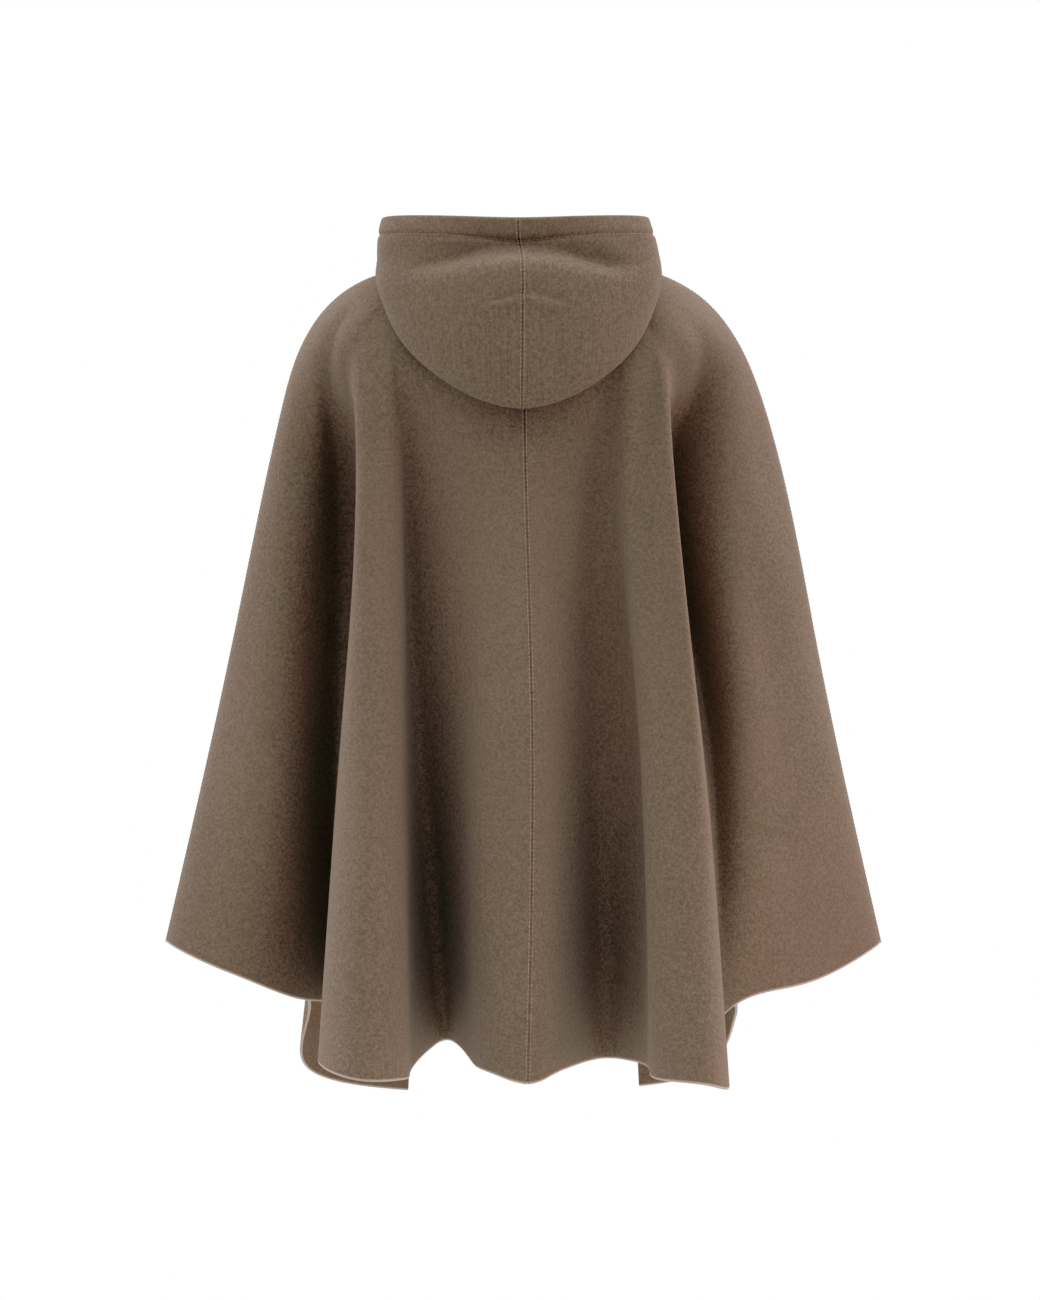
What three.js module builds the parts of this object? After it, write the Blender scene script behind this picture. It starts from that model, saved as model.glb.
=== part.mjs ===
// A hooded cape of thick wool cloth, worn open at the front, with no wearer in it.
// Millimetres. +Z is up, the front faces -Y and the wearer's left is +X.
// The origin is the middle of the neck, level with the top of the shoulders.
//
// The body is one surface cut into four panels. Its upper rings run smoothly over the shoulders,
// and its hem ring carries the folds. The hood lies down the back, and its sections run from the
// neck seam over the roll, down the back, round the bottom fold and up to the face edge.

import * as THREE from "three";

// ---- Driving sizes ----
const clothThickness = 3;
const seamGap = 0.3; // between pieces that are sewn together
const neckSeamGap = 0.75; // wider, as hood and body have their corners at different places round it
const hemLayerGap = 0.5; // between the two layers of the hood's turned-in hem
const hoodShift = 9; // the hood lies a little to the wearer's left
const bandShift = 3.5; // and its hem a little more
const hoodLean = 0.04; // while its back leans the other way, by this share of the reach

const bodyRows = 16; // faces from neck to hem
const turnSteps = 4; // faces round the fold of the hood's hem
const hoodColumns = 15; // faces from the centre seam to the front end of the hood
const columnWidth = 36; // of the body's faces, along the hem

// One grey-brown wool, a shade apart so that the pieces can be told from each other.
const frontColor = 0x6c5b4d;
const backColor = 0x705f50;
const hoodColor = 0x72614f;

// ---- The smooth rings, from the neck down ----
// Half widths to the wearer's left and right, reach behind and in front of the origin, heights at
// the back, sides and front, how square the oval is (2 is an ellipse) and how far round it the
// front edge lies, in degrees.
const ring = (name, left, right, back, front, zBack, zLeft, zRight, zFront, square, edge) => {
  return { name, left, right, back, front, zBack, zLeft, zRight, zFront, square, edge };
};
const smoothRings = [
  ring("neck", 76, 76, 62, 72, 18, 13, 13, -50, 2.0, 152),
  ring("shoulder", 194, 183, 106, 104, -32, -30, -29, -70, 2.2, 168),
  ring("yoke", 228, 221, 134, 120, -80, -78, -77, -100, 2.35, 172),
];
const edgeTurn = smoothRings[2].edge;

// ---- The folds, from the right front edge round the back to the left front edge ----
// The turn, in degrees round the yoke from the centre back, plus towards the wearer's left. Then x,
// y and z, where the fold line meets the hem. Then how far, in x and y, it leaves the straight line
// from yoke to hem near its top and half way down.
const fold = (name, turn, x, y, z, highX, highY, bowX, bowY) => {
  return { name, turn, x, y, z, highX, highY, bowX, bowY };
};
const folds = [
  fold("right front edge", -172, -129, -222, -879, 0, 0, -16, -8),
  fold("right front panel", -160, -170, -230, -874, 0, 0, -8, -8),
  fold("right front crest", -151, -210, -216, -852, 0, 0, 0, -4),
  fold("right front fold", -144, -229, -184, -800, 0, 0, 0, 0),
  fold("right front return", -137, -229, -165, -783, 0, 0, 4, 0),
  fold("right front trough", -128, -222, -150, -770, 10, 16, 14, 8),
  fold("right wing front", -115, -266, -100, -752, 0, 0, 0, 0),
  fold("right wing front edge", -103, -332, -56, -718, 0, 0, 0, 0),
  fold("right wing tip", -90, -370, -12, -696, -10, 0, -6, 0),
  fold("right wing back edge", -78, -333, 32, -714, -6, 2, -3, 6),
  fold("right wing back", -69, -277, 70, -731, -3, 2, -3, 4),
  fold("right wing root", -61, -212, 106, -747, 10, -12, 2, -18),
  fold("right side trough", -53, -190, 124, -770, 19, -37, 5, -60),
  fold("right side return", -45, -187, 136, -780, 19, -46, 4, -62),
  fold("right flute edge", -35, -202, 156, -817, 0, 5, -3, 8),
  fold("right flute crest", -31, -178, 212, -811, 0, 4, -1, 0),
  fold("right flute inside", -25, -139, 188, -810, 0, 3, 0, 0),
  fold("right flute return", -20, -128, 104, -809, 0, 0, -8, 0),
  fold("right back trough", -15.5, -84, 24, -812, 0, 2, 0, 12),
  fold("right back rise", -9, -45, 106, -809, 0, 2, 0, -2),
  fold("right of centre", -4.7, -24, 162, -810, 0, 0, 0, 0),
  fold("centre back", 0, -3, 184, -814, 0, 2, -6, 0),
  fold("left of centre", 4.7, 25, 170, -808, 0, 2, 0, 0),
  fold("left back rise", 11, 49, 104, -806, 0, 4, 2, 8),
  fold("left back trough", 22, 82, -2, -797, 12, 0, 15, 12),
  fold("left flute return", 29, 118, 92, -815, 5, 0, 2, 0),
  fold("left flute inside", 31.5, 128, 182, -811, 5, 3, 4, 2),
  fold("left flute crest", 35.5, 156, 208, -808, 4, 4, 0, 0),
  fold("left flute edge", 41.5, 199.5, 163, -801, 1, 10, -5, 6),
  fold("left side return", 48, 179, 10, -785, -6, -32, -3, -38),
  fold("left side trough", 56, 199, -70, -768, 1, -27, 0, -12),
  fold("left wing root", 64, 238, 10, -751, 0, -14, 2, -2),
  fold("left wing back", 73, 289, 44, -726, 2, -3, -1, 2),
  fold("left wing back edge", 80, 332, 32, -710, 5, 2, -1, 2),
  fold("left wing tip", 90, 371, -12, -695, 5, 0, 1, 0),
  fold("left wing front edge", 103, 330, -58, -717, 0, 0, 0, 0),
  fold("left wing front", 115, 266, -106, -752, 0, 0, 0, 0),
  fold("left front trough", 128, 231, -160, -780, -11, 16, -15, 8),
  fold("left front return", 137, 238.5, -180, -816, 0, 0, -5, 0),
  fold("left front fold", 144, 241, -196, -847, 0, 0, 0, 0),
  fold("left front crest", 151, 218, -222, -870, 0, 0, 0, -4),
  fold("left front panel", 160, 173, -232, -881, 0, 0, 8, -8),
  fold("left front edge", 172, 129, -225, -884, 0, 0, 16, -8),
];
const high = 0.1; // how far down from yoke to hem the folds begin
const waist = 0.5; // and how far down they bow most

// ---- The hood's sections, from the centre back round to the front of the neck ----
// Turn: degrees from the centre back. Open and dip: half the width and the depth of the bottom fold.
// The rest are stations along the section, up from the neck seam, each a distance from the neck's
// middle and a height: the roll over the neck, where it lies on the back, the bottom fold, the
// outer layer at its fullest, the ridge and its brow, the valley, the stitch line of the hem and the
// face edge.
const hoodSections = [
  {
    turn: 0,
    open: 7,
    dip: 13,
    roll: [81, 43],
    lay: [122, -26],
    fold: [168, -140],
    full: [187, -64],
    ridge: [190, -18],
    brow: [186, 0],
    valley: [160, 15],
    stitch: [161, 24],
    edge: [164, 43.5],
  },
  {
    turn: 18,
    open: 7,
    dip: 13,
    roll: [82, 42],
    lay: [123, -22],
    fold: [172, -126],
    full: [190, -60],
    ridge: [190, -22],
    brow: [186, -7],
    valley: [165, 9],
    stitch: [167, 28.5],
    edge: [169, 45],
  },
  {
    turn: 34,
    open: 7,
    dip: 13,
    roll: [84, 41],
    lay: [125, -12],
    fold: [175, -95],
    full: [190, -46],
    ridge: [190, -26],
    brow: [188, -13],
    valley: [180, -1],
    stitch: [180, 31],
    edge: [175, 47],
  },
  {
    turn: 48,
    open: 7,
    dip: 11,
    roll: [88, 39],
    lay: [124, 8],
    fold: [170, -55],
    full: [182, -30],
    ridge: [184, -14],
    brow: [183, -2],
    valley: [181, 10],
    stitch: [178, 33],
    edge: [173, 48],
  },
  {
    turn: 62,
    open: 6.5,
    dip: 5,
    roll: [92, 36],
    lay: [121, 16],
    fold: [153, -11],
    full: [160, -5],
    ridge: [160, 2],
    brow: [158.5, 9],
    valley: [157, 18],
    stitch: [154, 34],
    edge: [149, 48],
  },
  {
    turn: 82,
    open: 6,
    dip: 2,
    roll: [90, 32],
    lay: [112, 20],
    fold: [132, 12],
    full: [139, 16],
    ridge: [138.5, 20],
    brow: [138, 24],
    valley: [137, 29],
    stitch: [135, 36],
    edge: [129, 46],
  },
  {
    turn: 108,
    open: 4,
    dip: 1,
    roll: [85, 23],
    lay: [99, 15],
    fold: [111, 9],
    full: [118, 11.5],
    ridge: [119.5, 14],
    brow: [120, 16.5],
    valley: [119.5, 19],
    stitch: [117, 23],
    edge: [112, 30],
  },
  {
    turn: 132,
    open: 2.5,
    dip: 0.4,
    roll: [80, -3],
    lay: [87, -6],
    fold: [92, -8],
    full: [96, -7],
    ridge: [98.5, -5],
    brow: [99.2, -3.5],
    valley: [99.5, -2],
    stitch: [99, 1],
    edge: [96, 8],
  },
  {
    turn: 151,
    open: 1,
    dip: 0,
    roll: [76, -23],
    lay: [78, -21],
    fold: [80.5, -19.5],
    full: [82.5, -18],
    ridge: [84.5, -16],
    brow: [85.3, -15],
    valley: [86, -14],
    stitch: [87.5, -12],
    edge: [89, -7],
  },
];
const hoodStations = Object.keys(hoodSections[0]).slice(3);
const shiftRuns = [2, 5]; // the places along the section over which the hood's shift builds up
const bandShiftRuns = [9, 12]; // and over which the hem's own shift does
const riseHeight = 0.78; // of the way up from neck seam to roll, the hood stands straight up

// ---- Curves ----

// A smooth curve through values at rising knots: a natural cubic spline.
function splineThrough(knots, values) {
  const last = knots.length - 1;
  const bends = new Array(last + 1).fill(0);
  const carried = new Array(last + 1).fill(0);
  for (let i = 1; i < last; i += 1) {
    const before = knots[i] - knots[i - 1];
    const after = knots[i + 1] - knots[i];
    const change = (values[i + 1] - values[i]) / after - (values[i] - values[i - 1]) / before;
    const pivot = 2 * (before + after) - before * carried[i - 1];
    carried[i] = after / pivot;
    bends[i] = (6 * change - before * bends[i - 1]) / pivot;
  }
  for (let i = last - 1; i > 0; i -= 1) bends[i] -= carried[i] * bends[i + 1];
  return (at) => {
    let i = 0;
    while (i < last - 1 && at > knots[i + 1]) i += 1;
    const span = knots[i + 1] - knots[i];
    const b = (at - knots[i]) / span;
    const a = 1 - b;
    const bend = ((a ** 3 - a) * bends[i] + (b ** 3 - b) * bends[i + 1]) * span ** 2 / 6;
    return a * values[i] + b * values[i + 1] + bend;
  };
}

// A smooth curve through values that only grow, which never runs back between them.
function risingThrough(knots, values) {
  const last = knots.length - 1;
  const spans = knots.slice(1).map((knot, i) => knot - knots[i]);
  const slopes = spans.map((span, i) => (values[i + 1] - values[i]) / span);
  const tangents = [slopes[0]];
  for (let i = 1; i < last; i += 1) {
    const first = 2 * spans[i] + spans[i - 1];
    const second = spans[i] + 2 * spans[i - 1];
    tangents.push((first + second) / (first / slopes[i - 1] + second / slopes[i]));
  }
  tangents.push(slopes[last - 1]);
  return (at) => {
    let i = 0;
    while (i < last - 1 && at > knots[i + 1]) i += 1;
    const t = (at - knots[i]) / spans[i];
    const rise = values[i + 1] - values[i];
    const tilt = tangents[i] * (1 - t) - tangents[i + 1] * t;
    const bulge = tilt * spans[i] - rise * (1 - 2 * t);
    return values[i] + rise * t + t * (1 - t) * bulge;
  };
}

function distancesAlong(points) {
  const along = [0];
  for (let i = 1; i < points.length; i += 1) {
    along.push(along[i - 1] + points[i].distanceTo(points[i - 1]));
  }
  return along;
}

// A smooth curve through points, as a function of the distance along it.
function curveThrough(points) {
  const knots = distancesAlong(points);
  const [x, y, z] = ["x", "y", "z"].map((axis) => splineThrough(knots, points.map((p) => p[axis])));
  return { knots, at: (far) => new THREE.Vector3(x(far), y(far), z(far)) };
}

const radians = THREE.MathUtils.degToRad;

// ---- The body ----

function onRing(size, turn) {
  const angle = radians((turn * size.edge) / edgeTurn);
  const across = Math.sin(angle);
  const towardsBack = Math.cos(angle);
  const reach = towardsBack > 0 ? size.back : size.front;
  const height = towardsBack > 0 ? size.zBack : size.zFront;
  const halfWidth = across > 0 ? size.left : size.right;
  const zSide = across > 0 ? size.zLeft : size.zRight;
  const power = 2 / size.square;
  return new THREE.Vector3(
    halfWidth * Math.sign(across) * Math.abs(across) ** power,
    reach * Math.sign(towardsBack) * Math.abs(towardsBack) ** power,
    zSide * across ** 2 + height * towardsBack ** 2,
  );
}

const hemAlong = distancesAlong(folds.map((f) => new THREE.Vector3(f.x, f.y, f.z)));
const turnAt = risingThrough(hemAlong, folds.map((f) => f.turn));
const foldCurve = Object.fromEntries(
  ["x", "y", "z", "highX", "highY", "bowX", "bowY"].map((key) => [
    key,
    splineThrough(hemAlong, folds.map((f) => f[key])),
  ]),
);
const hemAt = (name) => hemAlong[folds.findIndex((f) => f.name === name)];

// A point of the body's cloth: u is the distance along the hem, v the share of the way down.
function bodyPoint(u, v) {
  const upper = smoothRings.map((size) => onRing(size, turnAt(u)));
  const yoke = upper[upper.length - 1];
  const hem = new THREE.Vector3(foldCurve.x(u), foldCurve.y(u), foldCurve.z(u));
  const top = yoke.clone().lerp(hem, high);
  top.x += foldCurve.highX(u);
  top.y += foldCurve.highY(u);
  const middle = yoke.clone().lerp(hem, waist);
  middle.x += foldCurve.bowX(u);
  middle.y += foldCurve.bowY(u);
  const { knots, at } = curveThrough([...upper, top, middle, hem]);
  return at(v * knots[knots.length - 1]);
}

// ---- The hood ----

const bothSides = [
  ...hoodSections.slice(1).reverse().map((s) => ({ ...s, turn: -s.turn })),
  ...hoodSections,
];
const hoodTurns = bothSides.map((s) => s.turn);
const hoodEnd = hoodTurns[hoodTurns.length - 1];
const overTurns = (value) => splineThrough(hoodTurns, bothSides.map(value));
const open = overTurns((s) => s.open);
const dip = overTurns((s) => s.dip);
const station = Object.fromEntries(
  hoodStations.map((name) => [
    name,
    { reach: overTurns((s) => s[name][0]), height: overTurns((s) => s[name][1]) },
  ]),
);

// Faces from each place on the section to the next.
const hoodRows = [1, 2, 4, 3, 2, 2, 3, 3, 2, 1, 1, 2];
const hemRows = hoodRows[hoodRows.length - 1];
const hoodLast = hoodRows.length;

// A point of the hood: u is the turn, v counts the places along the section from the neck seam (0)
// to the face edge (12).
function hoodPoint(u, v) {
  const across = Math.sin(radians(u));
  const towardsBack = Math.cos(radians(u));
  const neck = onRing(smoothRings[0], (u * edgeTurn) / smoothRings[0].edge);
  const place = (name, further = 0, higher = 0) => {
    const reach = station[name].reach(u) + further;
    const height = station[name].height(u) + higher;
    return new THREE.Vector3(reach * across, reach * towardsBack, height);
  };
  const roll = place("roll");
  const rise = neck.clone();
  rise.z = THREE.MathUtils.lerp(neck.z, roll.z, riseHeight);
  const { knots, at } = curveThrough([
    neck,
    rise,
    roll,
    place("lay"),
    place("fold", -open(u), dip(u)),
    place("fold"),
    place("fold", open(u), dip(u)),
    place("full"),
    place("ridge"),
    place("brow"),
    place("valley"),
    place("stitch"),
    place("edge"),
  ]);
  const before = Math.min(Math.floor(v), hoodLast - 1);
  const point = at(THREE.MathUtils.lerp(knots[before], knots[before + 1], v - before));
  const { smoothstep } = THREE.MathUtils;
  point.x += (hoodShift - hoodLean * point.y) * smoothstep(v, ...shiftRuns);
  point.x += bandShift * smoothstep(v, ...bandShiftRuns);
  return point;
}

// ---- Walls ----

const nudge = 1e-3; // of the whole surface, over which its ways are measured

// The ways along and down a surface at a point of it, and the way off it.
function waysAt({ point, across, downTo }, u, v) {
  const step = (across[1] - across[0]) * nudge;
  const beforeU = Math.max(across[0], u - step);
  const afterU = Math.min(across[1], u + step);
  const above = Math.max(0, v - downTo * nudge);
  const below = Math.min(downTo, v + downTo * nudge);
  const along = point(afterU, v).sub(point(beforeU, v)).normalize();
  const down = point(u, below).sub(point(u, above)).normalize();
  return { along, down, out: along.clone().cross(down).normalize() };
}

// A grid of the cloth's points, each moved the same distance the way its thickness is built.
const movedOut = (grid, distance) =>
  grid.map((column) => {
    return column.map(({ point, out }) => point.clone().addScaledVector(out, distance));
  });

// A closed wall between two grids of points, [column][row], the second on the outside.
function wallBetween(inside, outside) {
  const columns = inside.length;
  const rows = inside[0].length;
  const positions = [];
  const quad = (a, b, c, d) => {
    for (const p of [a, b, c, a, c, d]) positions.push(p.x, p.y, p.z);
  };
  for (let i = 0; i + 1 < columns; i += 1) {
    for (let j = 0; j + 1 < rows; j += 1) {
      quad(outside[i][j], outside[i + 1][j], outside[i + 1][j + 1], outside[i][j + 1]);
      quad(inside[i][j], inside[i][j + 1], inside[i + 1][j + 1], inside[i + 1][j]);
    }
    const end = rows - 1;
    quad(outside[i][0], inside[i][0], inside[i + 1][0], outside[i + 1][0]);
    quad(outside[i][end], outside[i + 1][end], inside[i + 1][end], inside[i][end]);
  }
  for (let j = 0; j + 1 < rows; j += 1) {
    const end = columns - 1;
    quad(outside[0][j], outside[0][j + 1], inside[0][j + 1], inside[0][j]);
    quad(outside[end][j], inside[end][j], inside[end][j + 1], outside[end][j + 1]);
  }
  const geometry = new THREE.BufferGeometry();
  geometry.setAttribute("position", new THREE.Float32BufferAttribute(positions, 3));
  geometry.computeVertexNormals();
  return geometry;
}

// Numbers from one end to the other in equal steps.
function steps(from, to, count) {
  return Array.from({ length: count + 1 }, (_, i) => from + ((to - from) * i) / count);
}

const group = new THREE.Group();
group.name = "cape";

function addPiece(name, geometry, color) {
  const cloth = new THREE.MeshStandardMaterial({ color, roughness: 0.95, metalness: 0 });
  const mesh = new THREE.Mesh(geometry, cloth);
  mesh.name = name;
  group.add(mesh);
}

// ---- The body's four panels ----

const body = { point: bodyPoint, across: [0, hemAlong[hemAlong.length - 1]], downTo: 1 };
const rowCrowding = 1.25; // above 1, rows lie closer together at the shoulders than at the hem
const bodyDown = steps(0, 1, bodyRows).map((share) => share ** rowCrowding);

function bodyPanel(from, to) {
  const count = Math.ceil((to - from) / columnWidth);
  const grid = steps(from, to, count).map((u) => {
    let shift = 0;
    if (u === from && from > body.across[0]) shift = seamGap / 2;
    if (u === to && to < body.across[1]) shift = -seamGap / 2;
    return bodyDown.map((v) => {
      const { along, out } = waysAt(body, u, v);
      return { point: bodyPoint(u, v).addScaledVector(along, shift), out };
    });
  });
  return wallBetween(movedOut(grid, 0), movedOut(grid, clothThickness));
}

const panels = [
  { name: "front_right", from: "right front edge", to: "right wing tip", color: frontColor },
  { name: "back_right", from: "right wing tip", to: "centre back", color: backColor },
  { name: "back_left", from: "centre back", to: "left wing tip", color: backColor },
  { name: "front_left", from: "left wing tip", to: "left front edge", color: frontColor },
];
for (const { name, from, to, color } of panels) {
  addPiece(name, bodyPanel(hemAt(from), hemAt(to)), color);
}

// ---- The hood's two halves, each with its hem turned in along the face edge ----

const hood = { point: hoodPoint, across: [-hoodEnd, hoodEnd], downTo: hoodLast };
const hoodPlaces = hoodRows
  .flatMap((count, i) => steps(i, i + 1, count).slice(0, -1))
  .concat(hoodLast);

const seamSearch = 1e-6; // how near the place on the neck seam is found

// The ways off the body's cloth at the neck, where the hood is sewn on.
function neckSeamAt(u) {
  const turn = (u * edgeTurn) / smoothRings[0].edge;
  let [low, far] = body.across;
  while (far - low > seamSearch) {
    const middle = (low + far) / 2;
    if (turnAt(middle) < turn) low = middle;
    else far = middle;
  }
  return waysAt(body, low, 0);
}

function hoodColumn(u, shift) {
  const column = hoodPlaces.map((v) => {
    const { along, down, out } = waysAt(hood, u, v);
    const point = hoodPoint(u, v).addScaledVector(along, shift);
    if (v > 0) return { point, down, out: out.negate() };
    const seam = neckSeamAt(u);
    return { point: point.addScaledVector(seam.down, -neckSeamGap), down, out: seam.out };
  });
  const edge = column[column.length - 1];
  const turned = steps(0, Math.PI, turnSteps).slice(1, -1).map((angle) => {
    const out = edge.out.clone().multiplyScalar(Math.cos(angle));
    out.addScaledVector(edge.down, Math.sin(angle));
    const point = edge.point.clone().addScaledVector(edge.out, -hemLayerGap / 2);
    return { point: point.addScaledVector(out, hemLayerGap / 2), out };
  });
  const inside = column.slice(-1 - hemRows).reverse().map(({ point, out }) => ({
    point: point.clone().addScaledVector(out, -hemLayerGap),
    out: out.clone().negate(),
  }));
  return [...column, ...turned, ...inside];
}

function addHoodHalf(name, from, to) {
  const grid = steps(from, to, hoodColumns).map((u) => {
    if (u !== 0) return hoodColumn(u, 0);
    return hoodColumn(u, from === 0 ? seamGap / 2 : -seamGap / 2);
  });
  addPiece(name, wallBetween(movedOut(grid, clothThickness), movedOut(grid, 0)), hoodColor);
}

addHoodHalf("hood_right", -hoodEnd, 0);
addHoodHalf("hood_left", 0, hoodEnd);

export default group;
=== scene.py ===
"""A hooded cape of thick fulled wool, worn open at the front, with no wearer in it.

Metres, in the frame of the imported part: +Z is up, the front faces -Y, the wearer's left is +X and
the origin is the middle of the neck, level with the top of the shoulders. The tables below are in
millimetres and degrees, as a maker would note them.
"""

import math
from collections import namedtuple

import bpy
import numpy as np
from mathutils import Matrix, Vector


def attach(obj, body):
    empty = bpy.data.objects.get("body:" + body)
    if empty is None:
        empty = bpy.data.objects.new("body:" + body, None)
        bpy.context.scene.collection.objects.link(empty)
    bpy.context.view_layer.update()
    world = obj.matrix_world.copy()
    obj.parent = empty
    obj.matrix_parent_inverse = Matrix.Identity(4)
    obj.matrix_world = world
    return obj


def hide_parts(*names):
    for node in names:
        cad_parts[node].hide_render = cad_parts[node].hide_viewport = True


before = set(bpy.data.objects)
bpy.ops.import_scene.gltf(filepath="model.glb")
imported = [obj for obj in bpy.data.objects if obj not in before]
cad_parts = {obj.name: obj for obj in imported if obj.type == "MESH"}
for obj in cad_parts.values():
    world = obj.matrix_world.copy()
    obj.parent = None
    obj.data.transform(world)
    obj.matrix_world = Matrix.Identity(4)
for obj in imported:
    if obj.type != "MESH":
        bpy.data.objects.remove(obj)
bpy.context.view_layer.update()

MM = 0.001

# ---- Sizes, in millimetres ----

CLOTH_THICKNESS = 3.0
HEM_LAYER_GAP = 0.3  # between the two layers of the hood's turned-in hem
HEM_LAYER_ROWS = 2  # rows of cloth that the turned-in layer runs past its stitches
HOOD_SHIFT = 9.0  # the hood lies a little to the wearer's left
BAND_SHIFT = 3.5  # and its hem a little more
HOOD_LEAN = 0.04  # while its back leans the other way, by this share of the reach
HOOD_REACH = 170.0  # of the hood's cloth from the neck's middle, for its grain and seam columns
HOOD_LENGTH = 300.0  # of one half of the hood, from the centre back to its front end
BODY_LENGTH = 840.0  # of the body's cloth from neck to hem, for its grain
HIGH = 0.10  # how far down from yoke to hem the folds begin
WAIST = 0.5  # and how far down they bow most

# A seam pressed open and stitched down on both sides: a groove between two soft lips.
SEAM_GROOVE = 0.6
SEAM_GROOVE_HALF_WIDTH = 1.1
SEAM_LIP = 0.7
SEAM_LIP_PLACE = 2.0
SEAM_LIP_WIDTH = 0.7

# One row of stitches pulls the hood's hem in along a soft ditch.
STITCH_DITCH = 2.0
STITCH_DITCH_WIDTH = 2.0
STITCH_LIFT = 0.12  # of every stitch's middle off the cloth

# ---- How finely the cloth is divided ----

BODY_STEP = 5.2  # between columns of the body's cloth, along the hem
BODY_ROWS = 160
HOOD_STEP = 3.4  # between columns of the hood's cloth
SEAM_COLUMNS = [0.12, 0.5, 0.9, 1.3, 1.7, 2.1, 2.6, 3.2, 4.2, 6.0]  # from the seam line
EDGE_TURNS = 6  # faces round a cut edge
EDGE_LEAST = 0.08  # the share of the cloth's thickness left where a rounded edge closes
TURN_STEPS = 4000  # of the table that finds the place of a turn along the hem
SHARP_ANGLE = 55  # degrees between faces, past which an edge isn't smoothed
TINY = 1e-12  # the least length that is divided by

# ---- The smooth rings, from the neck down ----
# Half widths, reaches to the back and the front, and heights. Square is 2 for an ellipse and more
# for fuller corners, and edge is the turn at which the open front edges stand.

Ring = namedtuple("Ring", "name left right back front z_back z_left z_right z_front square edge")
SMOOTH_RINGS = [
    Ring("neck", 76, 76, 62, 72, 18, 13, 13, -50, 2.0, 152),
    Ring("shoulder", 194, 183, 106, 104, -32, -30, -29, -70, 2.2, 168),
    Ring("yoke", 228, 221, 134, 120, -80, -78, -77, -100, 2.35, 172),
]
EDGE_TURN = SMOOTH_RINGS[-1].edge

# ---- The folds, from the right front edge round the back to the left front edge ----
# Turn is in degrees round the yoke from the centre back, plus towards the wearer's left. x, y and z
# are where the fold line meets the hem. The line leaves the straight way from yoke to hem by high_x
# and high_y near its top, and by bow_x and bow_y half way down.

Fold = namedtuple("Fold", "name turn x y z high_x high_y bow_x bow_y")
FOLDS = [
    Fold("right front edge", -172, -129, -222, -879, 0, 0, -16, -8),
    Fold("right front panel", -160, -170, -230, -874, 0, 0, -8, -8),
    Fold("right front crest", -151, -210, -216, -852, 0, 0, 0, -4),
    Fold("right front fold", -144, -229, -184, -800, 0, 0, 0, 0),
    Fold("right front return", -137, -229, -165, -783, 0, 0, 4, 0),
    Fold("right front trough", -128, -222, -150, -770, 10, 16, 14, 8),
    Fold("right wing front", -115, -266, -100, -752, 0, 0, 0, 0),
    Fold("right wing front edge", -103, -332, -56, -718, 0, 0, 0, 0),
    Fold("right wing tip", -90, -370, -12, -696, -10, 0, -6, 0),
    Fold("right wing back edge", -78, -333, 32, -714, -6, 2, -3, 6),
    Fold("right wing back", -69, -277, 70, -731, -3, 2, -3, 4),
    Fold("right wing root", -61, -212, 106, -747, 10, -12, 2, -18),
    Fold("right side trough", -53, -190, 124, -770, 19, -37, 5, -60),
    Fold("right side return", -45, -187, 136, -780, 19, -46, 4, -62),
    Fold("right flute edge", -35, -202, 156, -817, 0, 5, -3, 8),
    Fold("right flute crest", -31, -178, 212, -811, 0, 4, -1, 0),
    Fold("right flute inside", -25, -139, 188, -810, 0, 3, 0, 0),
    Fold("right flute return", -20, -128, 104, -809, 0, 0, -8, 0),
    Fold("right back trough", -15.5, -84, 24, -812, 0, 2, 0, 12),
    Fold("right back rise", -9, -45, 106, -809, 0, 2, 0, -2),
    Fold("right of centre", -4.7, -24, 162, -810, 0, 0, 0, 0),
    Fold("centre back", 0, -3, 184, -814, 0, 2, -6, 0),
    Fold("left of centre", 4.7, 25, 170, -808, 0, 2, 0, 0),
    Fold("left back rise", 11, 49, 104, -806, 0, 4, 2, 8),
    Fold("left back trough", 22, 82, -2, -797, 12, 0, 15, 12),
    Fold("left flute return", 29, 118, 92, -815, 5, 0, 2, 0),
    Fold("left flute inside", 31.5, 128, 182, -811, 5, 3, 4, 2),
    Fold("left flute crest", 35.5, 156, 208, -808, 4, 4, 0, 0),
    Fold("left flute edge", 41.5, 199.5, 163, -801, 1, 10, -5, 6),
    Fold("left side return", 48, 179, 10, -785, -6, -32, -3, -38),
    Fold("left side trough", 56, 199, -70, -768, 1, -27, 0, -12),
    Fold("left wing root", 64, 238, 10, -751, 0, -14, 2, -2),
    Fold("left wing back", 73, 289, 44, -726, 2, -3, -1, 2),
    Fold("left wing back edge", 80, 332, 32, -710, 5, 2, -1, 2),
    Fold("left wing tip", 90, 371, -12, -695, 5, 0, 1, 0),
    Fold("left wing front edge", 103, 330, -58, -717, 0, 0, 0, 0),
    Fold("left wing front", 115, 266, -106, -752, 0, 0, 0, 0),
    Fold("left front trough", 128, 231, -160, -780, -11, 16, -15, 8),
    Fold("left front return", 137, 238.5, -180, -816, 0, 0, -5, 0),
    Fold("left front fold", 144, 241, -196, -847, 0, 0, 0, 0),
    Fold("left front crest", 151, 218, -222, -870, 0, 0, 0, -4),
    Fold("left front panel", 160, 173, -232, -881, 0, 0, 8, -8),
    Fold("left front edge", 172, 129, -225, -884, 0, 0, 16, -8),
]

# ---- The hood's sections, from the centre back round to the front of the neck ----
# Open and dip are half the width and the depth of the bottom fold. The rest are stations along the
# section, up from the neck seam, each a distance from the neck's middle and a height. A place along
# a section counts them: 0 at the neck seam, 1 where the hood first rises, 2 at the roll, 3 at the
# lay, 4 to 6 round the bottom fold, then 7 at full and so on to the face edge.

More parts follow.
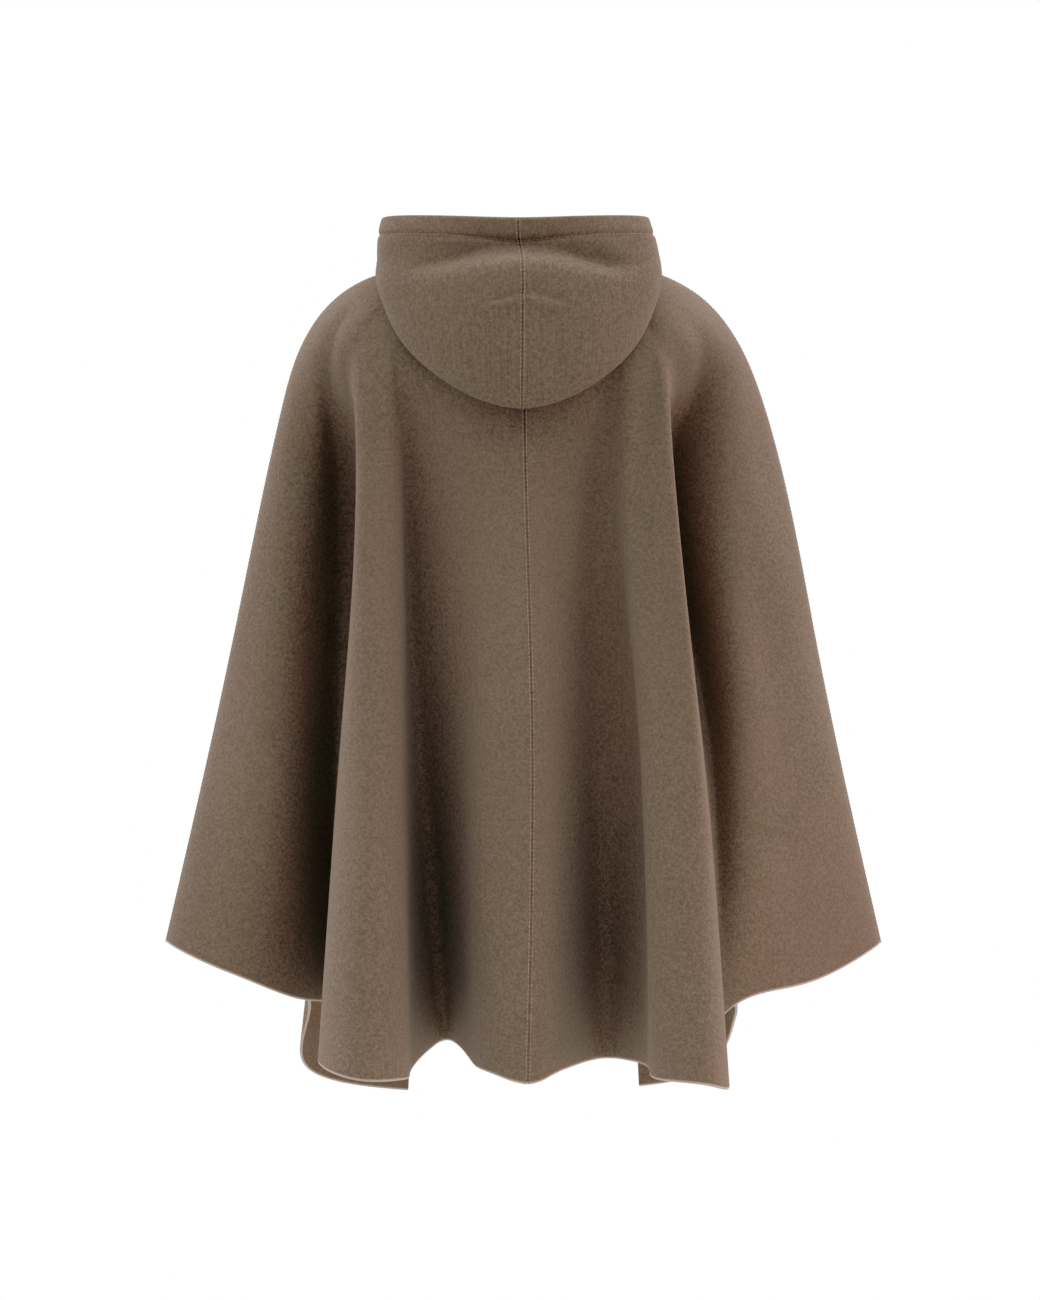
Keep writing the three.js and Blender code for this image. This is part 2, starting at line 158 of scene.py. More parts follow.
Section = namedtuple("Section", "turn open dip roll lay fold full ridge brow valley stitch edge")
HOOD_SECTIONS = [
    Section(
        0, 7, 13, (81, 43), (122, -26), (168, -140), (187, -64),
        (190, -18), (186, 0), (160, 15), (161, 24), (164, 43.5),
    ),
    Section(
        18, 7, 13, (82, 42), (123, -22), (172, -126), (190, -60),
        (190, -22), (186, -7), (165, 9), (167, 28.5), (169, 45),
    ),
    Section(
        34, 7, 13, (84, 41), (125, -12), (175, -95), (190, -46),
        (190, -26), (188, -13), (180, -1), (180, 31), (175, 47),
    ),
    Section(
        48, 7, 11, (88, 39), (124, 8), (170, -55), (182, -30),
        (184, -14), (183, -2), (181, 10), (178, 33), (173, 48),
    ),
    Section(
        62, 6.5, 5, (92, 36), (121, 16), (153, -11), (160, -5),
        (160, 2), (158.5, 9), (157, 18), (154, 34), (149, 48),
    ),
    Section(
        82, 6, 2, (90, 32), (112, 20), (132, 12), (139, 16),
        (138.5, 20), (138, 24), (137, 29), (135, 36), (129, 46),
    ),
    Section(
        108, 4, 1, (85, 23), (99, 15), (111, 9), (118, 11.5),
        (119.5, 14), (120, 16.5), (119.5, 19), (117, 23), (112, 30),
    ),
    Section(
        132, 2.5, 0.4, (80, -3), (87, -6), (92, -8), (96, -7),
        (98.5, -5), (99.2, -3.5), (99.5, -2), (99, 1), (96, 8),
    ),
    Section(
        151, 1, 0, (76, -23), (78, -21), (80.5, -19.5), (82.5, -18),
        (84.5, -16), (85.3, -15), (86, -14), (87.5, -12), (89, -7),
    ),
]
STITCH_PLACE = 11  # of the hem's stitch line
EDGE_PLACE = 12  # of the face edge
SHIFT_RUNS = (2, 5)  # the places between which the hood's shift grows
BAND_SHIFT_RUNS = (9, 12)  # and those between which its hem's shift does
RISE_HEIGHT = 0.78  # how far up from the neck seam to the roll the hood first rises
HOOD_ROWS_BETWEEN = [4, 6, 20, 30, 6, 6, 22, 32, 8, 10, 8, 9]  # faces from each place to the next

# ---- Creases ----
# Each runs from one point of the cloth to another. On the body a point is a turn at the yoke and
# the share of the way down from neck to hem, on the hood a turn and a place along the section.
# Width is how far the crease spreads to each side and depth how far it stands out, minus for a
# trough.

Crease = namedtuple("Crease", "turn_from down_from turn_to down_to width depth")
BODY_CREASES = [
    Crease(59, 0.155, 54, 0.28, 12, -6.0),
    Crease(-52, 0.155, -54, 0.28, 13, -6.5),
    Crease(-62, 0.80, -72, 0.83, 9, -2.6),
    Crease(-60, 0.84, -70, 0.87, 12, 1.6),
    Crease(60, 0.30, 68, 0.72, 26, -2.2),
    Crease(-62, 0.26, -70, 0.66, 24, -2.4),
    Crease(74, 0.40, 80, 0.86, 22, 1.8),
    Crease(-74, 0.34, -82, 0.78, 20, 1.8),
    Crease(33, 0.34, 35, 0.80, 16, -1.4),
    Crease(-30, 0.40, -32, 0.90, 18, -1.6),
    Crease(6, 0.30, 4, 0.72, 30, 1.6),
    Crease(-7, 0.46, -5, 0.86, 26, -1.2),
    Crease(-15.5, 0.70, -16, 1.02, 17, -6.0),
    Crease(22.5, 0.70, 22.5, 1.02, 15, -6.0),
    Crease(104, 0.36, 112, 0.80, 24, -2.2),
    Crease(-104, 0.42, -110, 0.84, 22, -2.4),
    Crease(150, 0.30, 152, 0.76, 26, 2.0),
    Crease(-152, 0.26, -150, 0.70, 28, 2.0),
    Crease(160, 0.62, 158, 0.94, 22, -1.8),
    Crease(-160, 0.55, -162, 0.88, 22, -1.8),
]
HOOD_CREASES = [
    Crease(-14, 7.57, -1, 7.82, 5.5, -1.7),
    Crease(-3, 7.82, 13, 7.57, 5.5, -1.6),
    Crease(-14, 7.42, -1, 7.66, 3.0, 2.4),
    Crease(-3, 7.66, 12, 7.43, 3.0, 2.2),
    Crease(-19, 11.0, 17, 11.0, 3.5, -2.4),
    Crease(-14, 10.2, -33, 9.75, 6, -2.6),
    Crease(-26, 10.7, -41, 10.2, 8, 3.6),
    Crease(11, 10.3, 28, 9.7, 6, -1.8),
    Crease(27, 10.6, 41, 10.0, 9, 2.0),
    Crease(14, 6.3, 30, 5.9, 14, -0.9),
    Crease(-22, 6.4, -38, 6.9, 14, -0.8),
    Crease(-13, 10.45, 12, 10.45, 4, -2.2),
]
CREASE_POINTS = 30  # that a crease is measured from, along its length
CREASE_FADE = 0.06  # how much of a crease's half wave is left out at each end
CREASE_SPREAD = 3  # widths from a crease at which it has died away


# ---- Curves ----


def natural_spline(knots, values):
    """A smooth curve through rows of values at rising knots, straight at both ends."""
    knots = np.asarray(knots, float)
    values = np.asarray(values, float).reshape(len(knots), -1)
    spans = np.diff(knots)
    slopes = np.diff(values, axis=0) / spans[:, None]
    last = len(knots) - 1
    system = np.eye(last + 1)
    wanted = np.zeros_like(values)
    for i in range(1, last):
        system[i, i - 1 : i + 2] = spans[i - 1], 2 * (spans[i - 1] + spans[i]), spans[i]
        wanted[i] = 6 * (slopes[i] - slopes[i - 1])
    bends = np.linalg.solve(system, wanted)

    def at(where):
        where = np.atleast_1d(np.asarray(where, float))
        i = np.clip(np.searchsorted(knots, where) - 1, 0, last - 1)
        span = spans[i][:, None]
        after = (where - knots[i])[:, None] / span
        before = 1 - after
        bend = (before**3 - before) * bends[i] + (after**3 - after) * bends[i + 1]
        return before * values[i] + after * values[i + 1] + bend * span**2 / 6

    return at


def rising_curve(knots, values):
    """A smooth curve through values that only grow, which never runs back between them."""
    knots, values = np.asarray(knots, float), np.asarray(values, float)
    spans = np.diff(knots)
    slopes = np.diff(values) / spans
    before, after = spans[:-1], spans[1:]
    first, second = 2 * after + before, after + 2 * before
    inner = (first + second) / (first / slopes[:-1] + second / slopes[1:])
    tangents = np.concatenate([slopes[:1], inner, slopes[-1:]])

    def at(where):
        i = int(np.clip(np.searchsorted(knots, where) - 1, 0, len(spans) - 1))
        t = (where - knots[i]) / spans[i]
        rise = values[i + 1] - values[i]
        bulge = (tangents[i] * (1 - t) - tangents[i + 1] * t) * spans[i] - rise * (1 - 2 * t)
        return values[i] + rise * t + t * (1 - t) * bulge

    return at


def distances_along(points):
    """How far each point is from the first, along the line through them."""
    return np.concatenate([[0], np.cumsum(np.linalg.norm(np.diff(points, axis=0), axis=1))])


def curve_through(points):
    """A smooth curve through points: the distances along it of the points, and the curve."""
    points = np.asarray(points, float)
    knots = distances_along(points)
    return knots, natural_spline(knots, points)


def smooth_step(value, low, high):
    """0 below low and 1 above high, with a soft start and end between."""
    share = np.clip((value - low) / (high - low), 0, 1)
    return share * share * (3 - 2 * share)


def unit(vectors):
    """The same directions, each of length 1."""
    return vectors / np.maximum(np.linalg.norm(vectors, axis=-1, keepdims=True), TINY)


# ---- The body's cloth ----


def on_ring(ring, turn):
    """The point of a smooth ring at a turn."""
    angle = math.radians(turn * ring.edge / EDGE_TURN)
    across, towards_back = math.sin(angle), math.cos(angle)
    half_width = ring.left if across > 0 else ring.right
    z_side = ring.z_left if across > 0 else ring.z_right
    reach = ring.back if towards_back > 0 else ring.front
    height = ring.z_back if towards_back > 0 else ring.z_front
    power = 2 / ring.square
    return np.array(
        [
            half_width * math.copysign(abs(across) ** power, across),
            reach * math.copysign(abs(towards_back) ** power, towards_back),
            z_side * across**2 + height * towards_back**2,
        ]
    )


hem_points = np.array([[f.x, f.y, f.z] for f in FOLDS], float)
hem_along = distances_along(hem_points)
hem_turn = rising_curve(hem_along, [f.turn for f in FOLDS])
hem_curve = natural_spline(hem_along, [f[2:] for f in FOLDS])


def along_hem(name):
    """Where a fold meets the hem, as a distance along it."""
    return hem_along[[f.name for f in FOLDS].index(name)]


def meridian(u):
    """The line of the body's cloth from the neck to the hem, at a distance u along the hem."""
    *hem, high_x, high_y, bow_x, bow_y = hem_curve(u)[0]
    rings = [on_ring(ring, hem_turn(u)) for ring in SMOOTH_RINGS]
    fall = np.array(hem) - rings[-1]
    high = rings[-1] + fall * HIGH + [high_x, high_y, 0]
    middle = rings[-1] + fall * WAIST + [bow_x, bow_y, 0]
    return curve_through([*rings, high, middle, hem])


def body_at(u, v):
    """Points of the body's cloth, at shares v of the way down one meridian."""
    knots, curve = meridian(u)
    return curve(np.asarray(v) * knots[-1])


SEAMS = [along_hem(name) for name in ("right wing tip", "centre back", "left wing tip")]


def columns_between(start, end, fine_start, fine_end):
    """Distances from start to end, closer together beside a seam."""
    fine = np.array(SEAM_COLUMNS)
    low = start + (fine[-1] if fine_start else 0)
    high = end - (fine[-1] if fine_end else 0)
    middle = np.linspace(low, high, max(2, math.ceil((high - low) / BODY_STEP)) + 1)
    before = [start, *(start + fine[:-1])] if fine_start else []
    after = [*(end - fine[:-1])[::-1], end] if fine_end else []
    return np.concatenate([before, middle, after])


fine_along = np.linspace(0, hem_along[-1], TURN_STEPS)
fine_turns_along = [hem_turn(u) for u in fine_along]


def turn_to_u(turn):
    """The distance along the hem of the line that starts at a turn."""
    return float(np.interp(turn, fine_turns_along, fine_along))


# ---- Relief: seams and creases stand off the smooth cloth ----


def crease_relief(points, creases, place_at):
    """How far the creases move each point of a grid off the smooth surface."""
    relief = np.zeros(points.shape[:-1])
    flat = points.reshape(-1, 3)
    for crease in creases:
        share = np.linspace(0, 1, CREASE_POINTS)
        line = np.array(
            [
                place_at(
                    crease.turn_from + (crease.turn_to - crease.turn_from) * s,
                    crease.down_from + (crease.down_to - crease.down_from) * s,
                )
                for s in share
            ]
        )
        spread_out = CREASE_SPREAD * crease.width
        near = np.all(
            (flat > line.min(0) - spread_out) & (flat < line.max(0) + spread_out), axis=1
        )
        gaps = np.linalg.norm(flat[near][:, None] - line[None], axis=2)
        closest = gaps.argmin(1)
        faded = np.sin(np.pi * (CREASE_FADE + (1 - 2 * CREASE_FADE) * share[closest]))
        shape = np.exp(-((gaps.min(1) / crease.width) ** 2))
        relief.reshape(-1)[near] += crease.depth * faded * shape
    return relief


def seam_relief(gap):
    """The groove of a seam and the lips beside it, by the distance from the seam line."""
    groove = -SEAM_GROOVE * np.clip(1 - gap / SEAM_GROOVE_HALF_WIDTH, 0, 1)
    lip = SEAM_LIP * np.exp(-(((gap - SEAM_LIP_PLACE) / SEAM_LIP_WIDTH) ** 2))
    return groove + lip


def normals_of(grid):
    """The way off a grid of points [column][row], from its neighbours on both sides."""
    along = np.gradient(grid, axis=0)
    down = np.gradient(grid, axis=1)
    return unit(np.cross(along, down))


# ---- Meshes ----


def closed_cloth(name, loops, uv_rows, on_edge, material):
    """A closed mesh from columns of the cloth, each a closed loop of points round its section.

    on_edge is 1 for the points of a loop that lie on a cut edge, where a painted highlight lightens
    the colour in place of the light that rims the edge.
    """
    columns, around = loops.shape[:2]
    verts = loops.reshape(-1, 3) * MM
    index = np.arange(columns * around).reshape(columns, around)
    onward = np.roll(index, -1, axis=1)
    faces = np.stack([index[:-1], index[1:], onward[1:], onward[:-1]], axis=-1).reshape(-1, 4)
    caps = []
    for column, order in ((0, 1), (columns - 1, -1)):
        left, right = 0, around - 1
        while right - left > 2:
            caps.append([index[column][k] for k in (left, left + 1, right - 1, right)][::order])
            left, right = left + 1, right - 1
        if right - left == 2:
            caps.append([index[column][k] for k in (left, left + 1, right)][::order])
    mesh = bpy.data.meshes.new(name)
    mesh.from_pydata(verts.tolist(), [], faces.tolist() + [[int(k) for k in cap] for cap in caps])
    mesh.update()
    corners = np.array([v.co for v in mesh.vertices])
    mesh.calc_loop_triangles()
    triangles = np.array([t.vertices for t in mesh.loop_triangles])
    a, b, c = corners[triangles[:, 0]], corners[triangles[:, 1]], corners[triangles[:, 2]]
    if np.einsum("ij,ij->i", a, np.cross(b, c)).sum() < 0:
        mesh.flip_normals()
    # Marks the cut edges for the painted highlight, which lightens their colour.
    edge = mesh.attributes.new("cut_edge_highlight", "FLOAT", "POINT")
    edge.data.foreach_set("value", np.tile(np.asarray(on_edge, np.float32), columns))
    uv_layer = mesh.uv_layers.new(name="cloth")
    per_vertex = uv_rows.reshape(-1, 2)
    loop_vertices = np.empty(len(mesh.loops), int)
    mesh.loops.foreach_get("vertex_index", loop_vertices)
    uv_layer.data.foreach_set("uv", per_vertex[loop_vertices].astype(np.float32).ravel())
    mesh.polygons.foreach_set("use_smooth", [True] * len(mesh.polygons))
    mesh.set_sharp_from_angle(angle=math.radians(SHARP_ANGLE))
    mesh.materials.append(material)
    piece = bpy.data.objects.new(name, mesh)
    bpy.context.scene.collection.objects.link(piece)
    return piece


def edge_round(middle, across, onward, half):
    """Points round a cut edge from its inner to its outer side."""
    angles = np.linspace(0, math.pi, EDGE_TURNS + 1)[1:-1]
    return [middle - across * half * math.cos(t) + onward * half * math.sin(t) for t in angles]


# ---- Finishes ----

MIX_SHARE, MIX_FIRST, MIX_SECOND, MIX_RESULT = 0, 6, 7, 2  # a mix node's sockets for colours


def add_node(tree, kind, inputs=None, **settings):
    """A node with its settings made, and its inputs set or linked."""
    node = tree.nodes.new(kind)
    for key, value in settings.items():
        setattr(node, key, value)
    for key, value in (inputs or {}).items():
        if isinstance(value, bpy.types.NodeSocket):
            tree.links.new(value, node.inputs[key])
        else:
            node.inputs[key].default_value = value
    return node


def reckon(tree, operation, first, second):
    """The sum, difference or product of two numbers."""
    return add_node(tree, "ShaderNodeMath", {0: first, 1: second}, operation=operation).outputs[0]


def noise(tree, coordinates, scale, detail=2.0, roughness=0.5):
    """Soft random cloudiness, from 0 to 1."""
    made = add_node(
        tree,
        "ShaderNodeTexNoise",
        {"Vector": coordinates, "Scale": scale, "Detail": detail, "Roughness": roughness},
    )
    return made.outputs["Fac"]


def spread(tree, value, low, high, to_low, to_high):
    """A value between low and high, softly spread to lie between to_low and to_high."""
    made = add_node(
        tree,
        "ShaderNodeMapRange",
        {"Value": value, "From Min": low, "From Max": high, "To Min": to_low, "To Max": to_high},
        interpolation_type="SMOOTHSTEP",
    )
    return made.outputs["Result"]


def blend_colours(tree, share, first, second):
    """The first colour where the share is 0 and the second where it is 1."""
    made = add_node(
        tree,
        "ShaderNodeMix",
        {MIX_SHARE: share, MIX_FIRST: first, MIX_SECOND: second},
        data_type="RGBA",
        blend_type="MIX",
    )
    return made.outputs[MIX_RESULT]


NAP_SCALE = (700.0, 420.0, 1.0)  # of the nap's streaks, longer down the cloth than across it
WARM_SHARE = 0.25  # of the warmer fibres, where they are thickest
BUMP_HEIGHT = 0.0007  # of the nap, in metres
# Painted highlight: the pale colour the cut edges are lightened towards, in place of the light that
# rims them, and how far.
CUT_EDGE_HIGHLIGHT_COLOUR = (0.62, 0.52, 0.45, 1)
CUT_EDGE_HIGHLIGHT_SHARE = 0.8


def fulled_wool(name, dark, light, warm):
    """Thick fulled wool: heathered fibres, a brushed nap that lies downwards, a soft sheen, and a
    painted highlight that lightens the cut edges.
    """
    material = bpy.data.materials.new(name)
    material.use_nodes = True
    tree = material.node_tree
    tree.nodes.clear()
    place = add_node(tree, "ShaderNodeTexCoord").outputs["Object"]
    cloth = add_node(tree, "ShaderNodeUVMap", uv_map="cloth").outputs["UV"]
    nap_way = add_node(
        tree, "ShaderNodeMapping", {"Vector": cloth, "Scale": NAP_SCALE}
    ).outputs["Vector"]
    flecks = noise(tree, place, 520.0, detail=3.0, roughness=0.65)
    tufts = noise(tree, place, 260.0, detail=2.0, roughness=0.6)
    clouds = noise(tree, place, 7.0, detail=3.0, roughness=0.55)
    warmth = noise(tree, place, 4.5, detail=2.0, roughness=0.5)
    nap = noise(tree, nap_way, 1.0, detail=3.0, roughness=0.6)
    fibre = reckon(tree, "ADD", reckon(tree, "ADD", flecks, tufts), nap)
    heather = blend_colours(tree, spread(tree, fibre, 1.05, 1.95, 0.0, 1.0), dark, light)
    warm_share = spread(tree, warmth, 0.42, 0.72, 0.0, WARM_SHARE)
    tinted = blend_colours(tree, warm_share, heather, warm)
    tone = spread(tree, clouds, 0.3, 0.7, 0.97, 1.03)
    heathered = add_node(
        tree, "ShaderNodeHueSaturation", {"Color": tinted, "Value": tone}
    ).outputs["Color"]
    # Painted highlight: the cut edges are lightened, standing in for the light that rims them.
    edge = add_node(tree, "ShaderNodeAttribute", attribute_name="cut_edge_highlight").outputs["Fac"]
    edge_highlight_share = spread(tree, edge, 0.7, 1.0, 0.0, CUT_EDGE_HIGHLIGHT_SHARE)
    final = blend_colours(tree, edge_highlight_share, heathered, CUT_EDGE_HIGHLIGHT_COLOUR)
    height = reckon(tree, "ADD", flecks, nap)
    bump = add_node(
        tree, "ShaderNodeBump", {"Height": height, "Strength": 0.55, "Distance": BUMP_HEIGHT}
    )
    shader = add_node(
        tree,
        "ShaderNodeBsdfPrincipled",
        {"Base Color": final, "Normal": bump.outputs["Normal"]},
    )
    shader.inputs["Roughness"].default_value = 0.96
    shader.inputs["Specular IOR Level"].default_value = 0.15
    shader.inputs["Sheen Weight"].default_value = 0.22
    shader.inputs["Sheen Roughness"].default_value = 0.55
    shader.inputs["Sheen Tint"].default_value = (0.86, 0.78, 0.70, 1)
    out = add_node(tree, "ShaderNodeOutputMaterial")
    tree.links.new(shader.outputs["BSDF"], out.inputs["Surface"])
    return material


wool = fulled_wool(
    "grey_brown_wool",
    dark=(0.158, 0.116, 0.086, 1),
    light=(0.280, 0.214, 0.163, 1),
    warm=(0.262, 0.180, 0.140, 1),
)
thread = fulled_wool(
    "sewing_thread",
    dark=(0.36, 0.30, 0.24, 1),
    light=(0.52, 0.43, 0.35, 1),
    warm=(0.45, 0.36, 0.29, 1),
)

# ---- The body's four panels ----


def body_columns():
    """All columns of the body, and for each panel its first and last one."""
    ends = [0, *SEAMS, hem_along[-1]]
    joined, spans = [], []
    for i, (panel_start, panel_end) in enumerate(zip(ends, ends[1:])):
        part = columns_between(panel_start, panel_end, i > 0, i < len(SEAMS))
        start = len(joined) - (1 if joined else 0)
        joined = joined[:-1] + list(part) if joined else list(part)
        spans.append((start, len(joined) - 1))
    return np.array(joined), spans


columns, panel_spans = body_columns()
rows = np.linspace(0, 1, BODY_ROWS + 1)
smooth = np.array([body_at(u, rows) for u in columns])
way_out = normals_of(smooth)
relief = crease_relief(smooth, BODY_CREASES, lambda turn, down: body_at(turn_to_u(turn), [down])[0])
inner_side = smooth + way_out * relief[..., None]
way_out = normals_of(inner_side)

seam_columns = [int(np.argmin(abs(columns - seam))) for seam in SEAMS]
seam_gap = np.full(smooth.shape[:2], np.inf)
for column in seam_columns:
    seam_gap = np.minimum(seam_gap, np.linalg.norm(smooth - smooth[column][None], axis=2))
thickness = CLOTH_THICKNESS + seam_relief(seam_gap)
outer_side = inner_side + way_out * thickness[..., None]


def body_panel(name, first, last, round_first=False, round_last=False):
    """One panel of the body, with its hem rounded, and its first or last edge where it is open."""
    inside, outside = inner_side[first : last + 1], outer_side[first : last + 1]
    out = unit(outside - inside)
    down = unit(inside[:, -1] - inside[:, -2])
    middle = (inside + outside) / 2
    half = np.linalg.norm(outside - inside, axis=2) / 2
    around = []
    for i in range(len(inside)):
        hem = edge_round(middle[i, -1], out[i, -1], down[i], half[i, -1])
        around.append(np.concatenate([inside[i], hem, outside[i][::-1]]))
    around = np.array(around)
    us = columns[first : last + 1]
    v_mm = np.concatenate([rows, [1.0] * (EDGE_TURNS - 1), rows[::-1]]) * BODY_LENGTH
    uv = np.stack(np.broadcast_arrays(us[:, None], v_mm[None]), axis=-1) * MM
    centre_line = np.array(
        [np.concatenate([m, [m[-1]] * (EDGE_TURNS - 1), m[::-1]]) for m in middle]
    )
    for at_end, wanted in ((0, round_first), (-1, round_last)):
        if not wanted:
            continue
        onward = unit(centre_line[at_end] - centre_line[1 if at_end == 0 else -2])
        added, added_uv = [], []
        for angle in np.linspace(0, math.pi / 2, EDGE_TURNS // 2 + 1)[1:]:
            shrink = max(math.cos(angle), EDGE_LEAST)
            ring = centre_line[at_end] + (around[at_end] - centre_line[at_end]) * shrink
            reach = CLOTH_THICKNESS / 2 * math.sin(angle)
            added.append(ring + onward * reach)
            added_uv.append(uv[at_end])
        if at_end == 0:
            around = np.concatenate([added[::-1], around])
            uv = np.concatenate([added_uv[::-1], uv])
        else:
            around = np.concatenate([around, added])
            uv = np.concatenate([uv, added_uv])
    # The rounded hem is marked for the painted highlight that lightens its colour.
    on_edge = [0] * (len(rows) - 1) + [1] * (EDGE_TURNS + 1) + [0] * (len(rows) - 1)
    return closed_cloth(name, around, uv, on_edge, wool)


front_right = body_panel("front_right_cloth", *panel_spans[0], round_first=True)
back_right = body_panel("back_right_cloth", *panel_spans[1])
back_left = body_panel("back_left_cloth", *panel_spans[2])
front_left = body_panel("front_left_cloth", *panel_spans[3], round_last=True)

# ---- The hood's two halves ----

both_sides = [s._replace(turn=-s.turn) for s in reversed(HOOD_SECTIONS[1:])] + HOOD_SECTIONS
hood_turns = [s.turn for s in both_sides]
HOOD_END = hood_turns[-1]
hood_curve = natural_spline(
    hood_turns, [[s.open, s.dip, *(n for station in s[3:] for n in station)] for s in both_sides]
)


def hood_section(turn):
    """The hood's line from the neck seam over the roll and the bottom fold to the face edge."""
    open_half, dip, *stations = hood_curve(turn)[0]
    across, back = math.sin(math.radians(turn)), math.cos(math.radians(turn))
    neck = on_ring(SMOOTH_RINGS[0], turn * EDGE_TURN / SMOOTH_RINGS[0].edge)

    def place(reach, height):
        return np.array([reach * across, reach * back, height])

    roll, lay, fold, full, ridge, brow, valley, stitch, edge = zip(stations[::2], stations[1::2])
    rise = np.array([neck[0], neck[1], neck[2] + (roll[1] - neck[2]) * RISE_HEIGHT])
    return curve_through(
        [
            neck,
            rise,
            place(*roll),
            place(*lay),
            place(fold[0] - open_half, fold[1] + dip),
            place(*fold),
            place(fold[0] + open_half, fold[1] + dip),
            place(*full),
            place(*ridge),
            place(*brow),
            place(*valley),
            place(*stitch),
            place(*edge),
        ]
    )


def hood_at(turn, places):
    """Points of the hood's cloth, at places along the section at a turn."""
    places = np.atleast_1d(np.asarray(places, float))
    knots, curve = hood_section(turn)
    points = curve(np.interp(places, np.arange(len(knots)), knots))
    share = smooth_step(places, *SHIFT_RUNS)
    points[:, 0] += (HOOD_SHIFT - HOOD_LEAN * points[:, 1]) * share
    points[:, 0] += BAND_SHIFT * smooth_step(places, *BAND_SHIFT_RUNS)
    return points


hood_places = np.concatenate(
    [np.linspace(i, i + 1, count, endpoint=False) for i, count in enumerate(HOOD_ROWS_BETWEEN)]
    + [[EDGE_PLACE]]
)
mm_per_degree = math.radians(1) * HOOD_REACH
fine_turns = np.array(SEAM_COLUMNS) / mm_per_degree
half_turns = np.concatenate(
    [
        [0],
        fine_turns,
        np.linspace(fine_turns[-1], HOOD_END, math.ceil(HOOD_LENGTH / HOOD_STEP))[1:],
    ]
)
turns = np.concatenate([-half_turns[:0:-1], half_turns])
middle_column = len(half_turns) - 1

hood_smooth = np.array([hood_at(turn, hood_places) for turn in turns])
hood_out = -normals_of(hood_smooth)
hood_relief = crease_relief(hood_smooth, HOOD_CREASES, lambda turn, place: hood_at(turn, place)[0])
hood_inner = hood_smooth + hood_out * hood_relief[..., None]
hood_out = -normals_of(hood_inner)
hood_gap = np.linalg.norm(hood_smooth - hood_smooth[middle_column][None], axis=2)
stitch_row = int(np.argmin(abs(hood_places - STITCH_PLACE)))
stitch_gap = np.linalg.norm(hood_smooth - hood_smooth[:, stitch_row][:, None], axis=2)
ditch = -STITCH_DITCH * np.exp(-((stitch_gap / STITCH_DITCH_WIDTH) ** 2))
hood_thickness = CLOTH_THICKNESS + seam_relief(hood_gap) + ditch
hood_outer = hood_inner + hood_out * hood_thickness[..., None]
hem_first = stitch_row - HEM_LAYER_ROWS


def hood_half(name, first, last):
    """One half of the hood, with the hem of its face edge folded in as a second layer."""
    inside, outside = hood_inner[first : last + 1], hood_outer[first : last + 1]
    out = unit(outside - inside)
    onward = unit(inside[:, -1] - inside[:, -2])
    turned = inside - out * HEM_LAYER_GAP
    turned_outside = inside - out * (HEM_LAYER_GAP + CLOTH_THICKNESS)
    around = []
    angles = np.linspace(0, math.pi, 2 * EDGE_TURNS + 1)[1:-1]
    for i in range(len(inside)):
        centre = inside[i, -1] - out[i, -1] * HEM_LAYER_GAP / 2
        outer_turn = [
            centre
            + (out[i, -1] * math.cos(t) + onward[i] * math.sin(t))
            * (CLOTH_THICKNESS + HEM_LAYER_GAP / 2)
            for t in angles
        ]
        inner_turn = [
            centre + (out[i, -1] * math.cos(t) + onward[i] * math.sin(t)) * HEM_LAYER_GAP / 2
            for t in angles[::-1]
        ]
        around.append(
            np.concatenate(
                [
                    outside[i],
                    outer_turn,
                    turned_outside[i, hem_first:][::-1],
                    turned[i, hem_first:],
                    inner_turn,
                    inside[i][::-1],
                ]
            )
        )
    around = np.array(around)
    v_mm = distances_along(around[len(around) // 2])
    us = turns[first : last + 1] * mm_per_degree
    uv = np.stack(np.broadcast_arrays(us[:, None], v_mm[None]), axis=-1) * MM
    return closed_cloth(name, around, uv, [0] * around.shape[1], wool)


hood_right = hood_half("hood_right_cloth", 0, middle_column)
hood_left = hood_half("hood_left_cloth", middle_column, len(turns) - 1)

# ---- Stitches ----


